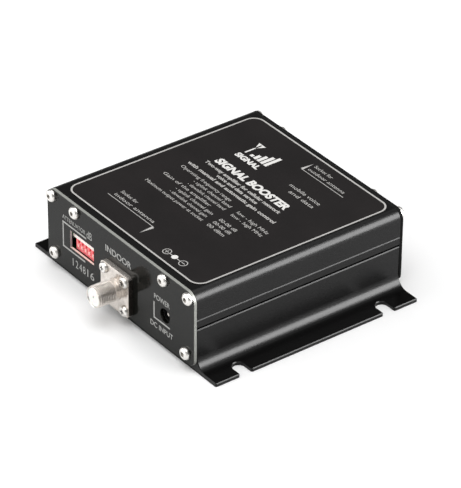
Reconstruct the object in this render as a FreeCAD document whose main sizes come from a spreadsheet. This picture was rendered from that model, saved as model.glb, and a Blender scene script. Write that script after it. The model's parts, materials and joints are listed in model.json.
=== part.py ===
"""Cellular signal booster: an extruded two-shell case with mounting flanges, an indoor and an
outdoor aerial socket, a five-way attenuator switch, a power socket and the boards inside.

Frame: millimetres, +Z up, X across the flanges, Y from the front panel (-Y) to the rear panel.
The origin is on the underside of the flanges, at the middle of the case.
"""
import FreeCAD
import Part
import Sketcher
import os

Vector = FreeCAD.Vector
OUTPUT_FOLDER = "parts"

# Driving dimensions, in millimetres: name -> (value, what it is).
SIZES = {
    "case_width": (100.0, "outside width of the case walls"),
    "flange_span": (124.7, "width over both mounting flanges"),
    "shell_length": (101.0, "length of the two extruded shells"),
    "shell_top": (36.5, "height of the upper shell's top face"),
    "wall": (2.0, "wall thickness of the shells"),
    "floor_thick": (2.5, "floor thickness of the lower shell"),
    "flange_thick": (1.5, "thickness of the mounting flanges"),
    "flange_curve": (5.5, "hollow curve between wall and flange"),
    "flange_bevel": (0.3, "bevel round the flanges' upper edges"),
    "corner_round": (4.8, "rounding of the top corners"),
    "seam_height": (20.9, "height of the upper shell's lower edge"),
    "seam_gap": (1.1, "shadow gap between the shells"),
    "seam_bevel": (0.36, "bevel along the lower shell's upper edge"),
    "tongue_thick": (1.2, "thickness of the tongue behind the shadow gap"),
    "tongue_tall": (2.2, "height of the tongue above the gap"),
    "tongue_gap": (0.1, "clearance between the tongue and the upper shell"),
    "groove_height": (24.2, "height of the trim groove on the side walls"),
    "groove_depth": (0.3, "depth of the trim groove"),
    "slot_radius": (2.8, "half width of the flange slots"),
    "slot_across": (57.8, "distance of the slot ends from the middle, across"),
    "slot_along": (35.85, "distance of the slots from the middle, along"),
    "panel_thick": (1.5, "thickness of the front and rear panels"),
    "panel_bevel": (0.15, "bevel round both faces of the panels"),
    "panel_bottom": (2.6, "height of the panels' lower edge"),
    "panel_foot_round": (3.2, "rounding of the panels' lower corners"),
    "label_thick": (0.2, "thickness of the top label film"),
    "label_width": (89.6, "width of the top label film"),
    "label_length": (96.9, "length of the top label film"),
    "label_shift_x": (1.2, "middle of the label film, across"),
    "label_shift_y": (0.85, "middle of the label film, along"),
    "label_corner": (5.5, "corner radius of the label film"),
    "screw_head_radius": (2.75, "panel screw head radius"),
    "screw_head_tall": (1.9, "panel screw head height"),
    "screw_shank_radius": (1.45, "panel screw shank radius"),
    "screw_hole_radius": (1.5, "panel screw hole radius"),
    "screw_reach": (8.0, "panel screw length behind the panel's front face"),
    "screw_key": (1.9, "width over the flats of a panel screw's hexagon recess"),
    "outer_screw_x": (46.4, "panel corner screws, distance from the middle"),
    "inner_screw_x": (30.15, "inner upper panel screws, distance from the middle"),
    "upper_screw_z": (33.35, "height of the upper panel screws"),
    "lower_screw_x": (44.8, "lower panel screws, distance from the middle"),
    "lower_screw_z": (7.05, "height of the lower panel screws"),
    "socket_height": (13.8, "height of the aerial sockets' axis"),
    "socket_square": (19.0, "side of the socket flange"),
    "socket_corner": (2.0, "rounding of the socket flange's corners"),
    "socket_plate": (2.3, "thickness of the socket flange"),
    "socket_radius": (4.7, "radius over the socket thread"),
    "socket_reach": (10.5, "length of the threaded barrel"),
    "socket_bore": (3.9, "radius of the barrel's bore"),
    "socket_spigot": (3.6, "radius of the socket's spigot in the panel"),
    "socket_stem": (2.1, "radius of the insulator's stem through the flange"),
    "socket_screw_pitch": (13.6, "spacing of the socket flange screws"),
    "socket_screw_hole": (1.3, "radius of the socket flange's screw holes"),
    "board_top": (12.9, "height of the main board's upper face"),
    "board_thick": (1.6, "thickness of the main board"),
    "board_half_width": (46.5, "half width of the main board"),
    "board_half_length": (49.6, "half length of the main board"),
    "standoff_x": (36.0, "standoffs, distance from the middle across"),
    "standoff_front": (34.0, "front standoffs, distance from the middle along"),
    "standoff_rear": (42.0, "rear standoffs, distance from the middle along"),
    "switch_x": (-25.0, "middle of the attenuator switch"),
    "switch_width": (14.2, "length of the attenuator switch"),
    "switch_bottom": (14.7, "height of the switch body's lower face"),
    "switch_tall": (8.6, "height of the switch body"),
    "switch_deep": (4.4, "depth of the switch body"),
    "window_left": (-34.0, "left side of the switch window"),
    "window_right": (-17.4, "right side of the switch window"),
    "window_bottom": (14.8, "height of the switch window's lower side"),
    "window_top": (23.0, "height of the switch window's upper side"),
    "slider_stand": (0.6, "height of a slider out of the switch body"),
    "slider_deep": (0.8, "depth of a slider's slot"),
    "slider_pitch": (2.54, "spacing of the switch sliders"),
    "slider_width": (1.1, "width of a switch slider"),
    "slider_tall": (1.4, "height of a switch slider"),
    "slider_travel": (1.7, "travel of a switch slider"),
    "slider_gap": (0.1, "gap round a switch slider"),
    "jack_x": (31.0, "middle of the power socket"),
    "jack_height": (16.9, "height of the power socket's axis"),
    "jack_radius": (3.15, "radius of the power socket's opening"),
    "jack_pin_radius": (1.0, "radius of the power socket's centre pin"),
}

doc = FreeCAD.newDocument("SignalBooster")
sheet = doc.addObject("Spreadsheet::Sheet", "Sizes")
for row, (alias, (value, meaning)) in enumerate(SIZES.items(), start=1):
    sheet.set(f"A{row}", meaning)
    sheet.set(f"B{row}", str(value))
    sheet.setAlias(f"B{row}", alias)
doc.recompute()


class Dim:
    """A length together with the expression that ties it to the sheet."""

    def __init__(self, value, text):
        self.value = value
        self.text = text

    def __float__(self):
        return self.value

    def __add__(self, other):
        other = as_dim(other)
        return Dim(self.value + other.value, f"({self.text} + {other.text})")

    def __sub__(self, other):
        other = as_dim(other)
        return Dim(self.value - other.value, f"({self.text} - {other.text})")

    def __mul__(self, factor):
        return Dim(self.value * factor, f"({self.text} * {factor})")

    def __truediv__(self, divisor):
        return Dim(self.value / divisor, f"({self.text} / {divisor})")

    def __neg__(self):
        return Dim(-self.value, f"(0 - {self.text})")

    def __radd__(self, other):
        return as_dim(other) + self

    def __rsub__(self, other):
        return as_dim(other) - self

    def __rmul__(self, factor):
        return self * factor


def as_dim(number):
    """Wraps a plain number, so that it mixes with sheet sizes."""
    if isinstance(number, Dim):
        return number
    return Dim(float(number), f"({float(number)})")


def size(alias):
    """The sheet size of that name."""
    return Dim(SIZES[alias][0], f"Sizes.{alias}")


def bind(thing, prop, length):
    """Ties one property of an object to its expression."""
    thing.setExpression(prop, as_dim(length).text)


# ---------------------------------------------------------------- sketches and features

PLANES = {"XY": "XY_Plane", "XZ": "XZ_Plane", "YZ": "YZ_Plane"}
# The XZ plane's normal points to -Y, so distances along +Y change sign on it.
NORMAL_SIGN = {"XY": 1, "XZ": -1, "YZ": 1}


def new_body(label):
    """An empty body that may hold several separate solids."""
    body = doc.addObject("PartDesign::Body", label)
    body.Label = label
    body.AllowCompound = True
    return body


def new_sketch(body, plane, start):
    """A sketch on one of the body's own planes, moved along the axis to `start`."""
    sketch = body.newObject("Sketcher::SketchObject", f"{body.Label}_sketch")
    role = PLANES[plane]
    own_plane = next(f for f in body.Origin.OriginFeatures if f.Role == role)
    sketch.AttachmentSupport = [(own_plane, "")]
    sketch.MapMode = "FlatFace"
    offset = as_dim(start)
    if NORMAL_SIGN[plane] < 0:
        offset = -offset
    sketch.AttachmentOffset = FreeCAD.Placement(Vector(0, 0, float(offset)), FreeCAD.Rotation())
    bind(sketch, "AttachmentOffset.Base.z", offset)
    return sketch


def hold(sketch, edge, point, across, up):
    """Fixes one point of an edge at its distances from the sketch's origin."""
    for kind, length in (("DistanceX", across), ("DistanceY", up)):
        rule = Sketcher.Constraint(kind, -1, 1, edge, point, float(length))
        number = sketch.addConstraint(rule)
        bind(sketch, f"Constraints[{number}]", length)


def polygon(*corners):
    """A closed outline with straight sides."""

    def draw(sketch):
        first = sketch.GeometryCount
        count = len(corners)
        points = [Vector(float(across), float(up), 0) for across, up in corners]
        for index in range(count):
            sketch.addGeometry(Part.LineSegment(points[index], points[(index + 1) % count]), False)
        for index in range(count):
            following = first + (index + 1) % count
            sketch.addConstraint(Sketcher.Constraint("Coincident", first + index, 2, following, 1))
        for index, (across, up) in enumerate(corners):
            hold(sketch, first + index, 1, across, up)

    return draw


def rectangle(low_across, high_across, low_up, high_up):
    """An upright rectangle between two corners."""
    return polygon(
        (low_across, low_up),
        (high_across, low_up),
        (high_across, high_up),
        (low_across, high_up),
    )


def middle_rectangle(across, up, width, height):
    """An upright rectangle about its middle."""
    half_width = as_dim(width) / 2
    half_height = as_dim(height) / 2
    return rectangle(across - half_width, across + half_width, up - half_height, up + half_height)


def circle(across, up, radius):
    """A circle about its middle."""

    def draw(sketch):
        middle = Vector(float(across), float(up), 0)
        edge = sketch.addGeometry(Part.Circle(middle, Vector(0, 0, 1), float(radius)), False)
        number = sketch.addConstraint(Sketcher.Constraint("Radius", edge, float(radius)))
        bind(sketch, f"Constraints[{number}]", radius)
        hold(sketch, edge, 3, across, up)

    return draw


# A regular hexagon's corner distance and half side, for half its width over the flats.
HEXAGON_CORNER = 1.1547
HEXAGON_HALF_SIDE = 0.57735


def hexagon(across, up, half_flats):
    """A hexagon about its middle, two corners on the up axis."""
    flats = as_dim(half_flats)
    corner = flats * HEXAGON_CORNER
    half_side = flats * HEXAGON_HALF_SIDE
    return polygon(
        (across + flats, up - half_side),
        (across + flats, up + half_side),
        (across, up + corner),
        (across - flats, up + half_side),
        (across - flats, up - half_side),
        (across, up - corner),
    )


def cross(across, up, arm, half_thick):
    """A plus sign about its middle, for a screw's recess."""
    steps = [
        (arm, half_thick), (half_thick, half_thick), (half_thick, arm),
        (-half_thick, arm), (-half_thick, half_thick), (-arm, half_thick),
        (-arm, -half_thick), (-half_thick, -half_thick), (-half_thick, -arm),
        (half_thick, -arm), (half_thick, -half_thick), (arm, -half_thick),
    ]
    return polygon(*[(across + step_x, up + step_z) for step_x, step_z in steps])


def volume_of(body):
    """The body's volume after a recompute."""
    doc.recompute()
    if body.Shape.isNull():
        return 0.0
    return body.Shape.Volume


def drawn_sketch(body, plane, start, outlines):
    """A sketch that holds all the outlines."""
    sketch = new_sketch(body, plane, start)
    for outline in outlines:
        outline(sketch)
    return sketch


def pad(body, plane, start, length, *outlines):
    """Adds material from `start` towards the axis's positive end."""
    before = volume_of(body)
    sketch = drawn_sketch(body, plane, start, outlines)
    feature = body.newObject("PartDesign::Pad", f"{body.Label}_pad")
    feature.Profile = sketch
    feature.Reversed = NORMAL_SIGN[plane] < 0
    feature.Length = float(length)
    bind(feature, "Length", length)
    if volume_of(body) <= before:
        raise RuntimeError(f"{body.Label}: a pad added nothing")
    return feature


def pocket(body, plane, start, length, *outlines):
    """Removes material from `start` towards the axis's positive end."""
    before = volume_of(body)
    sketch = drawn_sketch(body, plane, start, outlines)
    feature = body.newObject("PartDesign::Pocket", f"{body.Label}_pocket")
    feature.Profile = sketch
    feature.Reversed = NORMAL_SIGN[plane] > 0
    feature.Length = float(length)
    bind(feature, "Length", length)
    if volume_of(body) >= before:
        raise RuntimeError(f"{body.Label}: a pocket cut nothing")
    return feature


def dress(body, kind, prop, length, chosen):
    """Fillets or chamfers every edge that `chosen` accepts."""
    volume_of(body)
    base = body.Tip
    names = []
    for number, edge in enumerate(base.Shape.Edges, start=1):
        if chosen(edge):
            names.append(f"Edge{number}")
    if not names:
        raise RuntimeError(f"{body.Label}: no edge to dress")
    feature = body.newObject(f"PartDesign::{kind}", f"{body.Label}_{kind.lower()}")
    feature.Base = (base, names)
    bind(feature, prop, length)
    doc.recompute()
    return feature


def fillet(body, radius, chosen):
    """Rounds the chosen edges."""
    return dress(body, "Fillet", "Radius", radius, chosen)


def chamfer(body, length, chosen):
    """Bevels the chosen edges."""
    return dress(body, "Chamfer", "Size", length, chosen)


CLOSE = 0.05


def near(first, second):
    """True where two plain numbers agree to within the edge search's tolerance."""
    return abs(float(first) - float(second)) < CLOSE


def runs_along(edge, axis):
    """True for a straight edge parallel to the axis, 0 to 2 for X to Z."""
    if edge.Curve.TypeId != "Part::GeomLine":
        return False
    return abs(edge.tangentAt(edge.FirstParameter)[axis]) > 0.999


def long_edge_at(axis, first, second):
    """Chooses straight edges along an axis that pass mirrored points of the other two axes."""
    others = [index for index in range(3) if index != axis]

    def chosen(edge):
        if not runs_along(edge, axis):
            return False
        middle = edge.CenterOfMass
        return near(abs(middle[others[0]]), first) and near(abs(middle[others[1]]), second)

    return chosen


def flat_edge_at(axis, position):
    """Chooses edges that lie in the plane at that position on the axis."""

    def chosen(edge):
        box = edge.BoundBox
        low = (box.XMin, box.YMin, box.ZMin)[axis]
        high = (box.XMax, box.YMax, box.ZMax)[axis]
        return near(low, position) and near(high, position)

    return chosen


def round_edge_at(axis, position):
    """Chooses circular edges that lie in the plane at that position on the axis."""
    in_plane = flat_edge_at(axis, position)
    return lambda edge: edge.Curve.TypeId == "Part::GeomCircle" and in_plane(edge)


# ---------------------------------------------------------------- shared positions

half_width = size("case_width") / 2
half_length = size("shell_length") / 2
inner_x = half_width - size("wall")
shell_top = size("shell_top")
seam = size("seam_height")
front_face = -half_length - size("panel_thick")
rear_face = half_length + size("panel_thick")
board_top = size("board_top")


# How far a cut runs past the material on each side.
CUT_MARGIN = 1.0
FLANGE_TIP_ROUND = 0.6
SLOT_MOUTH_ROUND = 0.8
STANDOFF_BOSS = 0.8
# Share of a screw head's height that its rounding takes up.
HEAD_DOME = 0.78


def panel_screw_places():
    """The six screws of one panel, as distances across and up."""
    outer = size("outer_screw_x")
    inner = size("inner_screw_x")
    lower = size("lower_screw_x")
    high = size("upper_screw_z")
    low = size("lower_screw_z")
    return [(-outer, high), (-inner, high), (inner, high), (outer, high), (-lower, low), (lower, low)]


def socket_screw_places():
    """The four screws of one aerial socket, as distances across and up."""
    half = size("socket_screw_pitch") / 2
    middle = size("socket_height")
    return [(side, level) for side in (-half, half) for level in (middle - half, middle + half)]


def standoff_places():
    """The four board standoffs, as distances across and along."""
    across = size("standoff_x")
    front = -size("standoff_front")
    rear = size("standoff_rear")
    return [(-across, front), (across, front), (-across, rear), (across, rear)]


# ---------------------------------------------------------------- case

def make_lower_shell():
    """Floor, mounting flanges and lower side walls, one extrusion."""
    body = new_body("lower_shell")
    span = size("flange_span") / 2
    flange = size("flange_thick")
    floor = size("floor_thick")
    top = seam - size("seam_gap")
    tongue_out = inner_x - size("tongue_gap")
    tongue_in = tongue_out - size("tongue_thick")
    tongue_top = seam + size("tongue_tall")
    tongue_root = top - 3.0
    right = [
        (span, 0),
        (span, flange),
        (half_width, flange),
        (half_width, top),
        (tongue_out, top),
        (tongue_out, tongue_top),
        (tongue_in, tongue_top),
        (tongue_in, tongue_root),
        (inner_x, tongue_root - size("tongue_thick")),
        (inner_x, floor),
    ]
    left = [(-across, up) for across, up in reversed(right)]
    pad(body, "XZ", -half_length, size("shell_length"), polygon(*right, *left))
    corner_bosses(body)
    lower = [place for place in panel_screw_places() if float(place[1]) < float(seam)]
    holes = [circle(across, up, size("screw_hole_radius")) for across, up in lower]
    pocket(body, "XZ", -half_length - CUT_MARGIN, size("shell_length") + CUT_MARGIN * 2, *holes)
    fillet(body, size("flange_curve"), long_edge_at(1, half_width, flange))
    flange_slots(body)
    fillet(body, FLANGE_TIP_ROUND, long_edge_at(2, span, half_length))
    on_flange = flat_edge_at(2, flange)
    curve_foot = half_width + size("flange_curve")
    chamfer(
        body,
        size("flange_bevel"),
        lambda edge: on_flange(edge) and abs(edge.CenterOfMass.x) > float(curve_foot) + 2 * CLOSE,
    )
    chamfer(body, size("seam_bevel"), long_edge_at(1, half_width, top))
    places = standoff_places()
    pad(body, "XY", floor - 0.5, 0.5 + STANDOFF_BOSS, *[circle(x, y, 3.1) for x, y in places])
    pocket(body, "XY", 0.8, 4.0, *[circle(x, y, 1.3) for x, y in places])


def corner_bosses(body):
    """Thick lower corners inside the walls, which take the lower panel screws."""
    floor = size("floor_thick")
    root_x = half_width - 1.0
    boss_top = 10.3
    for side in (-1, 1):
        outline = [
            (root_x, floor - 1.0),
            (root_x, boss_top),
            (half_width - 6.2, boss_top),
            (half_width - 8.4, boss_top - 2.1),
            (half_width - 8.4, floor - 1.0),
        ]
        mirrored = [(across * side, up) for across, up in outline]
        pad(body, "XZ", -half_length, size("shell_length"), polygon(*mirrored))


def flange_slots(body):
    """Four slots, two in each flange, open to its outer edge and softened at the mouth."""
    span = size("flange_span") / 2
    slot_x = size("slot_across")
    slot_y = size("slot_along")
    radius = size("slot_radius")
    ends = []
    mouths = []
    for side in (-1, 1):
        for end in (-1, 1):
            ends.append(circle(slot_x * side, slot_y * end, radius))
            low, high = sorted((slot_x * side, (span + CUT_MARGIN) * side), key=float)
            mouths.append(rectangle(low, high, slot_y * end - radius, slot_y * end + radius))
    through = size("flange_thick") + size("flange_curve") + CUT_MARGIN * 2
    pocket(body, "XY", -CUT_MARGIN, through, *ends)
    pocket(body, "XY", -CUT_MARGIN, through, *mouths)
    corners = [long_edge_at(2, span, place) for place in (slot_y - radius, slot_y + radius)]
    fillet(body, SLOT_MOUTH_ROUND, lambda edge: any(chosen(edge) for chosen in corners))


def make_upper_shell():
    """Top and upper side walls, one extrusion, with the panel screw channels."""
    body = new_body("upper_shell")
    wall = size("wall")
    groove = size("groove_height")
    depth = size("groove_depth")
    ceiling = shell_top - wall
    outer = [
        (half_width, seam),
        (half_width, groove - depth),
        (half_width - depth, groove),
        (half_width, groove + depth),
        (half_width, shell_top),
    ]
    mirrored = [(-across, up) for across, up in reversed(outer)]
    inner = [(-inner_x, seam), (-inner_x, ceiling), (inner_x, ceiling), (inner_x, seam)]
    pad(body, "XZ", -half_length, size("shell_length"), polygon(*outer, *mirrored, *inner))
    fillet(body, size("corner_round"), long_edge_at(1, half_width, shell_top))
    corner = size("corner_round") - wall
    fillet(body, corner, long_edge_at(1, inner_x, ceiling))
    screw_channels(body)
    upper = [place for place in panel_screw_places() if float(place[1]) > float(seam)]
    holes = [circle(across, up, size("screw_hole_radius")) for across, up in upper]
    pocket(body, "XZ", -half_length - CUT_MARGIN, size("shell_length") + CUT_MARGIN * 2, *holes)


def screw_channels(body):
    """The thick corners and the two ribs under the top, which take the upper panel screws."""
    rib_half = 3.1
    rib_bevel = 1.3
    rib_top = shell_top - 1.0
    rib_bottom = size("upper_screw_z") - rib_half
    for side in (-1, 1):
        corner = [
            (half_width - 1.6, shell_top - 4.0),
            (half_width - 1.6, shell_top - 6.6),
            (half_width - 5.8, shell_top - 6.6),
            (half_width - 7.1, shell_top - 5.3),
            (half_width - 7.1, shell_top - 1.0),
            (half_width - 4.6, shell_top - 1.0),
        ]
        mirrored = [(across * side, up) for across, up in corner]
        pad(body, "XZ", -half_length, size("shell_length"), polygon(*mirrored))
        middle = size("inner_screw_x") * side
        rib = [
            (middle - rib_half, rib_top),
            (middle - rib_half, rib_bottom + rib_bevel),
            (middle - (rib_half - rib_bevel), rib_bottom),
            (middle + (rib_half - rib_bevel), rib_bottom),
            (middle + rib_half, rib_bottom + rib_bevel),
            (middle + rib_half, rib_top),
        ]
        pad(body, "XZ", -half_length, size("shell_length"), polygon(*rib))


def panel_blank(label, low):
    """A plain end panel with rounded corners, and the outlines of its common holes."""
    body = new_body(label)
    bottom = size("panel_bottom")
    thick = size("panel_thick")
    pad(body, "XZ", low, thick, rectangle(-half_width, half_width, bottom, shell_top))
    fillet(body, size("corner_round"), long_edge_at(1, half_width, shell_top))
    fillet(body, size("panel_foot_round"), long_edge_at(1, half_width, bottom))
    rims = [flat_edge_at(1, low), flat_edge_at(1, low + thick)]
    chamfer(body, size("panel_bevel"), lambda edge: any(chosen(edge) for chosen in rims))
    cuts = [circle(across, up, size("screw_hole_radius")) for across, up in panel_screw_places()]
    cuts += [circle(across, up, size("socket_screw_hole")) for across, up in socket_screw_places()]
    cuts.append(circle(0, size("socket_height"), size("socket_spigot") + 0.1))
    return body, cuts


def make_panels():
    """The front panel, with the switch window and power hole, and the plainer rear panel."""
    through = size("panel_thick") + CUT_MARGIN * 2
    body, cuts = panel_blank("front_panel", front_face)
    cuts.append(rectangle(
        size("window_left"), size("window_right"), size("window_bottom"), size("window_top")
    ))
    cuts.append(circle(size("jack_x"), size("jack_height"), size("jack_radius") + 0.05))
    pocket(body, "XZ", front_face - CUT_MARGIN, through, *cuts)
    body, cuts = panel_blank("rear_panel", half_length)
    pocket(body, "XZ", half_length - CUT_MARGIN, through, *cuts)


def make_screws(label, places, face, outward, sizes, recess):
    """Domed screws, their heads on `face`; recess(across, up) outlines what drives them."""
    head_radius, head_tall, shank_radius, reach = sizes
    body = new_body(label)
    heads = [circle(across, up, head_radius) for across, up in places]
    shanks = [circle(across, up, shank_radius) for across, up in places]
    recesses = [recess(across, up) for across, up in places]
    recess_deep = head_tall * 0.6
    root = 0.2
    head_end = face + head_tall * outward
    if outward < 0:
        pad(body, "XZ", head_end, head_tall, *heads)
        fillet(body, head_tall * HEAD_DOME, round_edge_at(1, head_end))
        pad(body, "XZ", face - root, reach + root, *shanks)
        pocket(body, "XZ", head_end - CUT_MARGIN, recess_deep + CUT_MARGIN, *recesses)
    else:
        pad(body, "XZ", face, head_tall, *heads)
        fillet(body, head_tall * HEAD_DOME, round_edge_at(1, head_end))
        pad(body, "XZ", face - reach, reach + root, *shanks)
        pocket(body, "XZ", head_end - recess_deep, recess_deep + CUT_MARGIN, *recesses)


def make_panel_screws():
    """Six screws with a hexagon recess in each end panel."""
    sizes = (
        size("screw_head_radius"),
        size("screw_head_tall"),
        size("screw_shank_radius"),
        size("screw_reach"),
    )
    places = panel_screw_places()

    def key(across, up):
        return hexagon(across, up, size("screw_key") / 2)

    make_screws("front_panel_screws", places, front_face, -1, sizes, key)
    make_screws("rear_panel_screws", places, rear_face, 1, sizes, key)


def make_top_label():
    """The printed film on the top face, set slightly off centre."""
    body = new_body("top_label")
    outline = middle_rectangle(
        size("label_shift_x"), size("label_shift_y"), size("label_width"), size("label_length")
    )
    pad(body, "XY", shell_top, size("label_thick"), outline)
    fillet(body, size("label_corner"), lambda edge: runs_along(edge, 2))


# ---------------------------------------------------------------- aerial sockets

def make_socket(name, outward):
    """One aerial socket: body, insulator, contact, flange screws and nuts."""
    face = front_face if outward < 0 else rear_face
    inside = -half_length if outward < 0 else half_length
    middle = size("socket_height")
    plate = size("socket_plate")
    reach = size("socket_reach")
    square = size("socket_square")
    radius = size("socket_radius")
    bore = size("socket_bore")

    def span(near_end, far_end):
        """Start and length of a stretch given by its distances outward from the panel's face."""
        ends = sorted((face + near_end * outward, face + far_end * outward), key=float)
        return ends[0], ends[1] - ends[0]

    end = plate + reach
    spigot = size("socket_spigot")
    stem = size("socket_stem")

    body = new_body(f"{name}_socket_body")
    pad(body, "XZ", *span(0, plate), middle_rectangle(0, middle, square, square))
    fillet(body, size("socket_corner"), lambda edge: runs_along(edge, 1))
    pad(body, "XZ", *span(plate - 0.5, end), circle(0, middle, radius))
    chamfer(body, 0.5, round_edge_at(1, face + end * outward))
    pad(body, "XZ", *span(-size("panel_thick"), 0.5), circle(0, middle, spigot))
    pocket(body, "XZ", *span(plate, end + 1.0), circle(0, middle, bore))
    pocket(body, "XZ", *span(-2.5, plate + 0.5), circle(0, middle, stem))
    holes = [circle(across, up, size("socket_screw_hole")) for across, up in socket_screw_places()]
    pocket(body, "XZ", *span(-CUT_MARGIN, plate + 1.0), *holes)

    # The contact's room in the insulator narrows to a small hole at the mouth.
    lip = end - 1.1
    insulator = new_body(f"{name}_socket_insulator")
    pad(insulator, "XZ", *span(plate, end - 0.4), circle(0, middle, bore - 0.02))
    pad(insulator, "XZ", *span(-2.1, plate + 0.2), circle(0, middle, stem - 0.02))
    pocket(insulator, "XZ", *span(-3.0, lip), circle(0, middle, 0.68))
    pocket(insulator, "XZ", *span(lip - 0.2, end), circle(0, middle, 0.5))

    contact = new_body(f"{name}_socket_contact")
    pad(contact, "XZ", *span(-6.5, end - 1.4), circle(0, middle, 0.64))
    pocket(contact, "XZ", *span(plate + 1.0, end), circle(0, middle, 0.4))

    sizes = (2.4, 1.4, 1.2, plate + 4.0)
    make_screws(
        f"{name}_socket_screws",
        socket_screw_places(),
        face + plate * outward,
        outward,
        sizes,
        lambda across, up: cross(across, up, 1.1, 0.28),
    )

    nuts = new_body(f"{name}_socket_nuts")
    nut_tall = 1.8
    start = min(inside, inside - nut_tall * outward, key=float)
    flats = [hexagon(across, up, 2.5) for across, up in socket_screw_places()]
    bores = [circle(across, up, 1.22) for across, up in socket_screw_places()]
    pad(nuts, "XZ", start, nut_tall, *flats)
    pocket(nuts, "XZ", start - CUT_MARGIN, nut_tall + CUT_MARGIN * 2, *bores)


# ---------------------------------------------------------------- attenuator switch

SLIDER_COUNT = 5
PIN_STEP = 2.54
switch_front = -half_length + 0.2
switch_back = switch_front + size("switch_deep")


def slider_places():
    """The middles of the sliders, from left to right."""
    middle = (SLIDER_COUNT - 1) / 2
    pitch = size("slider_pitch")
    return [size("switch_x") + pitch * (index - middle) for index in range(SLIDER_COUNT)]


def make_switch():
    """The switch body, its sliders, and the pale strip over them behind the panel's window."""
    bottom = size("switch_bottom")
    tall = size("switch_tall")
    deep = size("switch_deep")
    gap = size("slider_gap")
    nub_wide = size("slider_width")
    nub_tall = size("slider_tall")
    slot_low = bottom + 1.75
    slot_high = slot_low + nub_tall + size("slider_travel") + gap * 2
    middle = bottom + tall / 2
    body = new_body("attenuator_switch_body")
    outline = middle_rectangle(size("switch_x"), middle, size("switch_width"), tall)
    pad(body, "XZ", switch_front, deep, outline)
    chamfer(body, 0.4, long_edge_at(0, -switch_front, bottom + tall))
    slots = []
    for across in slider_places():
        half = nub_wide / 2 + gap
        slots.append(rectangle(across - half, across + half, slot_low, slot_high))
    pocket(body, "XZ", switch_front - CUT_MARGIN, size("slider_deep") + CUT_MARGIN, *slots)
    nub_front = switch_front - size("slider_stand")
    nub_deep = size("slider_stand") + size("slider_deep") - gap
    low_z = slot_low + gap
    for number, across in enumerate(slider_places(), start=1):
        slider = new_body(f"attenuator_slider_{number}")
        half = nub_wide / 2
        outline = rectangle(across - half, across + half, low_z, low_z + nub_tall)
        pad(slider, "XZ", nub_front, nub_deep, outline)
        chamfer(slider, 0.2, lambda edge: near(edge.CenterOfMass.y, nub_front))
    strip = new_body("switch_cover_strip")
    strip_low = slot_high + 0.05
    window_margin = 1.6
    outline = rectangle(
        size("window_left") - window_margin, size("window_right") + window_margin, strip_low, strip_low + 4.0
    )
    pad(strip, "XZ", -half_length + 0.02, 0.16, outline)
    make_switch_board(middle)


def make_switch_board(middle):
    """The small upright board behind the switch, the switch's pins and the board's header."""
    pin_rows = (middle - 3.4, middle + 3.4)
    pins_at = [(across, level) for across in slider_places() for level in pin_rows]
    pins = new_body("attenuator_switch_pins")
    pad(pins, "XZ", switch_back, 2.2, *[middle_rectangle(x, z, 0.5, 0.5) for x, z in pins_at])

    thick = 1.2
    half = 9.5
    board = new_body("switch_board")
    board_x = size("switch_x")
    pad(board, "XZ", switch_back, thick, rectangle(board_x - half, board_x + half, board_top + 0.1, 27.5))
    holes = [middle_rectangle(x, z, 0.7, 0.7) for x, z in pins_at]
    pocket(board, "XZ", switch_back - CUT_MARGIN, thick + CUT_MARGIN * 2, *holes)

    header = new_body("switch_board_header")
    wire = 0.64
    foot = 4.0
    post = 2.2
    low_y = switch_back + thick
    bent_wire = [
        (low_y, board_top),
        (low_y + foot, board_top),
        (low_y + foot, board_top + wire),
        (low_y + wire, board_top + wire),
        (low_y + wire, board_top + post),
        (low_y, board_top + post),
    ]
    for step in range(-3, 4):
        pad(header, "YZ", board_x + step * PIN_STEP - wire / 2, wire, polygon(*bent_wire))


# ---------------------------------------------------------------- power socket

def make_power_socket():
    """The barrel socket for the power lead: housing, centre pin, spring and solder tags."""
    across = size("jack_x")
    up = size("jack_height")
    pin_radius = size("jack_pin_radius")
    front = -half_length + 0.05
    foot = board_top + 0.05
    deep = 13.0
    bore_deep = 10.0
    half = 4.6

    housing = new_body("power_socket_housing")
    pad(housing, "XZ", front, deep, rectangle(across - half, across + half, foot, up + half))
    bore = circle(across, up, size("jack_radius") - 0.15)
    pocket(housing, "XZ", front - CUT_MARGIN, bore_deep + CUT_MARGIN, bore)
    pin_hole = circle(across, up, pin_radius + 0.02)
    pocket(housing, "XZ", front + bore_deep - 1.0, deep, pin_hole)
    notch = rectangle(across - 1.0, across + 1.0, board_top - 1.0, board_top + 1.3)
    pocket(housing, "XZ", front + 2.0, 7.0, notch)

    pin = new_body("power_socket_pin")
    pad(pin, "XZ", front, deep + 1.5, circle(across, up, pin_radius))
    fillet(pin, 0.6, round_edge_at(1, front))

    spring = new_body("power_socket_spring")
    pad(spring, "XZ", front + 3.0, 5.0, rectangle(across - 0.8, across + 0.8, foot, board_top + 0.5))
    tags = new_body("power_socket_tags")
    pad(tags, "XZ", front + deep + 0.05, 0.4, rectangle(across - 1.2, across + 1.2, foot, up - 1.1))


# ---------------------------------------------------------------- boards and electronics

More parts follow.
